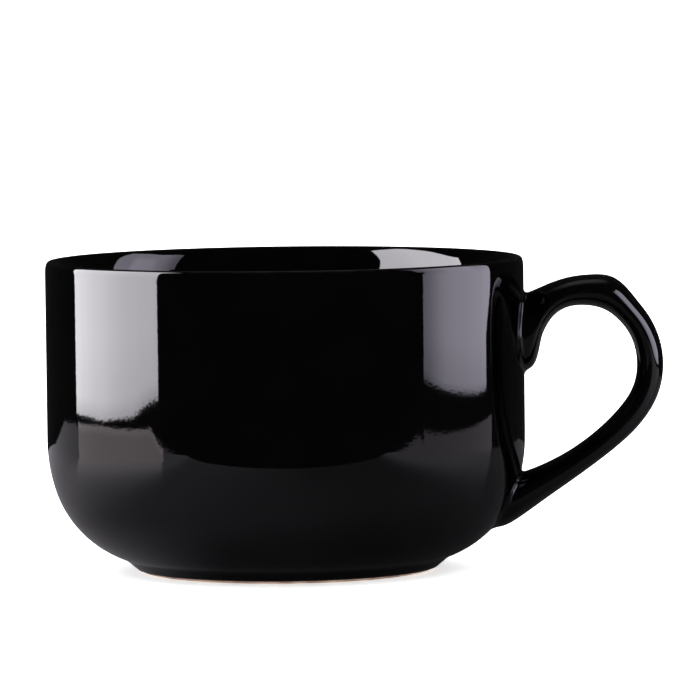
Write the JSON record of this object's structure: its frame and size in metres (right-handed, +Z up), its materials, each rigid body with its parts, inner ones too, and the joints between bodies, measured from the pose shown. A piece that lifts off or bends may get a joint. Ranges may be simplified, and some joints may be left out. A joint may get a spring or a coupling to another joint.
{
  "type": "soup mug",
  "caption": "Wide straight-sided glazed soup mug on a low foot ring, rounded in towards the base, with a strap handle that breaks over a thumb shoulder.",
  "frame": {"origin": "centre of the foot ring's face, on the table", "axes": "+Z up along the bowl's axis, +X from the axis towards the handle"},
  "size_m": [0.1612, 0.125, 0.0814],
  "materials": {
    "bare_clay": "bare fired stoneware, matt",
    "slip": "fired clay slip, hidden under the glaze",
    "black_glaze": "high-gloss black glaze"
  },
  "bodies": {
    "root": {"bowl": "bare_clay", "handle": "bare_clay", "upper_slip_joint": "slip", "lower_slip_joint": "slip", "outer_glaze": "black_glaze", "liner_glaze": "black_glaze", "base_glaze": "black_glaze", "handle_glaze": "black_glaze"}
  },
  "joints": []
}
